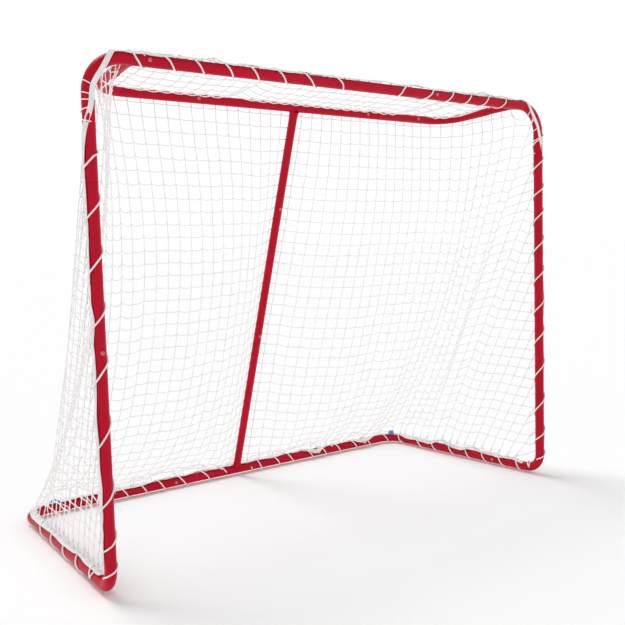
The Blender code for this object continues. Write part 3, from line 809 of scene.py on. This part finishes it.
def build_net(lines):
    """Knots and strings of every panel, between the shelf, the mouth tape and the floor tape."""
    net, knots = Net(), {}
    tops, floors, hems, fronts = {}, {}, {}, {}
    for side in (-1, 1):
        mouth, base = lines[side]
        shelf = rounded([(0, SHELF_Y, SHELF_Z), (side * SHELF_X, SHELF_Y, SHELF_Z), arm_point(side, 0.012)],
                        [SHELF_BEND])
        over = unit(np.stack([np.interp(lengths(shelf), [0, 0.45, 0.62, 0.9], [0, 0, side * 0.9, side * 0.9]),
                              np.interp(lengths(shelf), [0, 0.45, 0.62, 0.9], [0.5, 0.5, 0.1, 0.0]),
                              np.ones(len(shelf))], axis=1))
        tops[side] = shelf + over * (THIN_R + TWINE_R)
        floors[side] = base[::-1]
        corner = nearest(mouth, (side * 0.615, MOUTH_Y, BAR_Z + TUBE_R))
        hems[side] = mouth[:corner + 1][::-1]
        fronts[side] = mouth[(np.abs(mouth[:, 0]) < 0.600) & (mouth[:, 2] > BAR_Z)][::-1]

    def fallen(row):
        return min(row / (ROWS - 1), 1.0)

    def reach(row):
        return TOP_HALF + (FLOOR_HALF - TOP_HALF) * fallen(row)

    def share_of(line, share):
        return at_distance(line, share * lengths(line)[-1])

    def column_top(k, side):
        if abs(k) <= TOP_HALF:
            return share_of(tops[side], abs(k) / TOP_HALF), 0.0
        row = (abs(k) - TOP_HALF) / (FLOOR_HALF - TOP_HALF) * (ROWS - 1)
        return share_of(hems[side], fallen(row)), row

    count = int(FLOOR_HALF)
    for k in range(-count, count + 1):
        side = 1 if k >= 0 else -1
        top, first = column_top(k, side)
        floor = share_of(floors[side], abs(k) / FLOOR_HALF)
        for row in range(ROWS + 1):
            if abs(k) > reach(row) - 0.05 or row < first:
                continue
            share = (row - first) / max(ROWS - 1 - first, 1e-6)
            if row == ROWS:
                place, held = floor, True
            elif row == ROWS - 1:
                lump = rng.uniform(0, 1) ** 2
                tall = 0.004 + 0.026 * lump if abs(k) < 18 else 0.003 + 0.010 * lump
                drift = rng.normal(0, 0.010, 2)
                inward = np.array((0.005, 0, 0)) if abs(k) > 18 else np.array((0, 0.004, 0))
                place = floor + UP * tall + inward + np.array((drift[0] * (abs(k) < 18), drift[1] * 0.4, 0))
                held = True
            elif row == 0:
                place, held = top, True
            else:
                place, held = top * (1 - share) + floor * share, False
                bulge = math.sin(math.pi * min(share, 1)) * 0.012
                place = place + bulge * (BACK if abs(k) <= BACK_HALF + 2 else outer(side))
            knots[k, row] = net.knot(place, held)
    for (k, row), knot in sorted(knots.items()):
        between = panel_of(max(k, k + 1, key=abs))
        if (k, row + 1) in knots:
            net.string(knot, knots[k, row + 1], MESH * DROP_TAUT, panel_of(k), ("column", k))
        if (k + 1, row) in knots:
            net.string(knot, knots[k + 1, row], MESH * ROW_TAUT, between, ("row", row, between))
    for side in (-1, 1):
        for row in range(1, ROWS):
            last = int(math.floor(reach(row) - 0.05))
            if (side * last, row) not in knots:
                continue
            hem = share_of(hems[side], fallen(row))
            here = knots[side * last, row]
            left = max(reach(row) - last, 0.3) * MESH
            end = net.knot(hem, True)
            bow = (outer(side) * 0.022 + UP * 0.010) if row < 5 else outer(side) * 0.004
            panel = panel_of(side * last)
            pair = (here, end) if side > 0 else (end, here)
            net.string(*pair, max(left, np.linalg.norm(hem - net.place[here]) * (1.12 if row < 5 else 1.0)),
                       panel, ("row", row, panel), bow)
        for k in range(int(TOP_HALF) + 1, count):
            top, first = column_top(side * k, side)
            row = int(math.ceil(first))
            while (side * k, row) not in knots and row < ROWS:
                row += 1
            if (side * k, row) in knots:
                end = net.knot(top, True)
                net.string(end, knots[side * k, row], max((row - first) * MESH, 0.012),
                           panel_of(side * k), ("column", side * k), outer(side) * 0.004)
    for k in range(-BACK_HALF, BACK_HALF + 1):
        side = 1 if k >= 0 else -1
        hem = share_of(fronts[side], abs(k) / (BACK_HALF + 1.1))
        back = net.place[knots[k, 0]]
        for row in range(1, TOP_ROWS + 1):
            if row == TOP_ROWS:
                place, held = hem + UP * 0.0008, True
            elif row == TOP_ROWS - 1:
                lumpy = -17 < k < -6 or k > 12
                tall = rng.uniform(0.0, 0.012) if lumpy else rng.uniform(-0.002, 0.002)
                place = hem + np.array((rng.normal(0, 0.006), 0.012 + rng.uniform(0, 0.012), tall))
                held = True
            else:
                share = row / (TOP_ROWS - 0.5)
                place, held = back * (1 - share) + hem * share + UP * 0.002, False
            knots["top", k, row] = net.knot(place, held)
        knots["top", k, 0] = knots[k, 0]
    for k in range(-BACK_HALF, BACK_HALF + 1):
        for row in range(TOP_ROWS):
            net.string(knots["top", k, row], knots["top", k, row + 1], MESH, "net_top",
                       ("top column", k))
        for row in range(1, TOP_ROWS + 1):
            if k < BACK_HALF:
                net.string(knots["top", k, row], knots["top", k + 1, row], MESH * TOP_LOOSE, "net_top",
                           ("top row", row))
    for side in (-1, 1):
        for row in range(1, TOP_ROWS):
            edge = share_of(tops[side], (BACK_HALF + 1.2 + (TOP_HALF - BACK_HALF - 1.2) * row / TOP_ROWS)
                            / TOP_HALF)
            end = net.knot(edge, True)
            here = knots["top", side * BACK_HALF, row]
            gap = float(np.linalg.norm(edge - net.place[here]))
            pair = (here, end) if side > 0 else (end, here)
            net.string(*pair, gap * 1.03, "net_top", ("top row", row))
    down = unit(brace_point(1) - brace_point(0))
    behind = unit(np.cross((1, 0, 0), down))
    behind = behind * (1 if behind[1] > 0 else -1)
    net.settle(ROUNDS, tube_bars(), (brace_point(0), behind, THIN_R + TWINE_R))
    return net, knots


def hem_strings(build, side, places):
    """Strings that tie a side panel to its tape round the outside of a top bend."""
    line = spaced(mouth_line(side), 0.002)
    ahead = unit(np.gradient(line, axis=0))
    centre = np.array((side * (POST_X - TOP_BEND), MOUTH_Y, BAR_Z - TOP_BEND))
    for height in places:
        k = nearest(line, post_point(side, height))
        out = unit(line[k] - centre) if height > centre[2] else outer(side)
        turn = np.linspace(-1.5, 1.5, 15)[:, None]
        slant = rng.uniform(-0.004, 0.004)
        arc = line[k] + (np.cos(turn) * out + np.sin(turn) * BACK) * (TUBE_R + TWINE_R)
        build.tube(arc + ahead[k] * turn * slant, TWINE_R, 6)


HEM_LEFT = (0.950, 0.968, 0.988, 1.003, 1.022)
HEM_RIGHT = (0.955, 0.975, 0.990, 1.004, 1.016, 1.030, 1.046)


def draw_net(net, knots):
    """One piece of twine and knots for each panel."""
    panels = {}
    for panel, run, ids in net.strings:
        panels.setdefault(panel, {}).setdefault(run, []).append(ids)
    builds = {}
    for panel, runs in panels.items():
        builds[panel] = Build()
        for parts in runs.values():
            for chain in chained(parts):
                builds[panel].tube(net.place[chain], TWINE_R, 6)
    spots = {name: ([], []) for name in builds}
    for key, knot in knots.items():
        if key[0] == "top" and key[2] == 0:
            continue
        places, axes = spots["net_top" if key[0] == "top" else panel_of(key[0])]
        places.append(net.place[knot])
        axes.append((1.0, 0.1 * rng.normal(), 0.6 * rng.normal()))
    for side, word, places in ((-1, "left", HEM_LEFT), (1, "right", HEM_RIGHT)):
        hem_strings(builds[f"net_side_{word}"], side, places)
    pieces = {}
    for name, build in builds.items():
        build.blobs(np.array(spots[name][0]), np.array(spots[name][1]), KNOT_R, KNOT_LONG)
        pieces[name] = piece("twine_" + name, build, TWINE, "net", name)
    return pieces


def chained(parts):
    """Joins strings end to end where one starts with the knot the last one ended on."""
    starts = {ids[0]: ids for ids in parts}
    ends = {ids[-1] for ids in parts}
    chains = []
    for ids in parts:
        if ids[0] in ends:
            continue
        chain = list(ids)
        while chain[-1] in starts and starts[chain[-1]] is not ids:
            chain += starts[chain[-1]][1:]
        chains.append(chain)
    return chains


# ---- clips ----
CLIP_SIZE = {-1: 0.0040, 1: 0.0080}      # radius by side


def build_clips():
    """A small blue cord clip on the tape at each rear corner; the left one has a loose end."""
    for side, word in SIDES:
        turn = math.radians(44 if side > 0 else 90)
        bend = np.array((side * (REAR_X - REAR_BEND), REAR_Y - REAR_BEND, BASE_Z + TUBE_R + 0.005))
        along = np.array((-side * math.sin(turn), math.cos(turn), 0.0))
        centre = bend + REAR_BEND * np.array((side * math.cos(turn), math.sin(turn), 0.0))
        centre = centre + (along * 0.012 if side < 0 else 0)
        line = centre + along * np.array((-0.0085, -0.008, -0.006, 0.006, 0.008, 0.0085))[:, None]
        build = Build()
        build.tube(line, CLIP_SIZE[side] * np.array((0.56, 0.82, 1.0, 1.0, 0.82, 0.56)), 24)
        if side < 0:
            hang = centre + np.array((0.010, -0.017, -0.004))
            tail = smooth_line([centre + (0.006, -0.003, 0), centre + (0.009, -0.012, 0.001), hang,
                                hang + (0.001, -0.003, -0.011)])
            build.tube(tail, 0.0026, 10)
        piece(f"clip_{word}", build, CLIP, "clip", f"blue_clip_{word}")


# ---- stage, light and camera ----
FLOOR_REACH = 600.0
HORIZON, ZENITH, OVERHEAD = 1.02, 0.25, 1.35     # the studio's soft light, which makes the floor white


def build_stage():
    floor = bpy.data.objects.new("floor", bpy.data.meshes.new("floor"))
    corners = ((-1, -1), (1, -1), (1, 1), (-1, 1))
    floor.data.from_pydata([(x * FLOOR_REACH, y * FLOOR_REACH, 0) for x, y in corners], [], [(0, 1, 2, 3)])
    bpy.context.scene.collection.objects.link(floor)
    look = Look("white_floor", (0.99, 0.99, 0.99), 0.9)
    look.shader.inputs["Specular IOR Level"].default_value = 0.0
    floor.data.materials.append(look.made)
    world = bpy.data.worlds.new("studio")
    bpy.context.scene.world = world
    world.use_nodes = True
    tree = world.node_tree
    way = tree.nodes.new("ShaderNodeTexCoord").outputs["Generated"]
    height = tree.nodes.new("ShaderNodeSeparateXYZ")
    level = tree.nodes.new("ShaderNodeMapRange")
    level.inputs["From Min"].default_value = 0.3
    level.inputs["To Min"].default_value = HORIZON
    level.inputs["To Max"].default_value = ZENITH
    tree.links.new(way, height.inputs["Vector"])
    tree.links.new(height.outputs["Z"], level.inputs["Value"])
    tree.links.new(level.outputs["Result"], tree.nodes["Background"].inputs["Strength"])
    tree.nodes["Background"].inputs["Color"].default_value = (1, 1, 1, 1)
    light = bpy.data.lights.new("overhead", "SUN")
    light.energy, light.angle = OVERHEAD, math.radians(22)
    lamp = bpy.data.objects.new("overhead", light)
    lamp.rotation_mode = "QUATERNION"
    lamp.rotation_quaternion = Vector((0.12, -0.42, -1.0)).to_track_quat("-Z", "Y")
    bpy.context.scene.collection.objects.link(lamp)


CAMERA_FROM = Vector((-1.30144, MOUTH_Y - 1.55099, 0.69721))
CAMERA_AIM = Vector((0.59368, 0.80073, -0.07983))
CAMERA_ROLL = math.radians(-1.608)
CAMERA_LENS = 47.85


def build_camera():
    camera = bpy.data.objects.new("camera", bpy.data.cameras.new("camera"))
    camera.data.lens = CAMERA_LENS
    camera.data.sensor_width = 36.0
    camera.location = CAMERA_FROM
    camera.rotation_mode = "QUATERNION"
    camera.rotation_quaternion = CAMERA_AIM.to_track_quat("-Z", "Y") @ Quaternion((0, 0, 1), CAMERA_ROLL)
    bpy.context.scene.collection.objects.link(camera)
    bpy.context.scene.camera = camera
    bpy.context.scene.view_settings.view_transform = "Standard"


def dress_cad():
    """The sleeves inside the tubes stay as CAD nodes, painted."""
    for name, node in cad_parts.items():
        if "sleeve" in name:
            node.data.materials.clear()
            node.data.materials.append(PAINT)


build_frame()
build_screws()
build_lacing()
tape_lines = build_tapes()
net, knots = build_net(tape_lines)
sheets = draw_net(net, knots)
build_clips()
dress_cad()
build_stage()
build_camera()
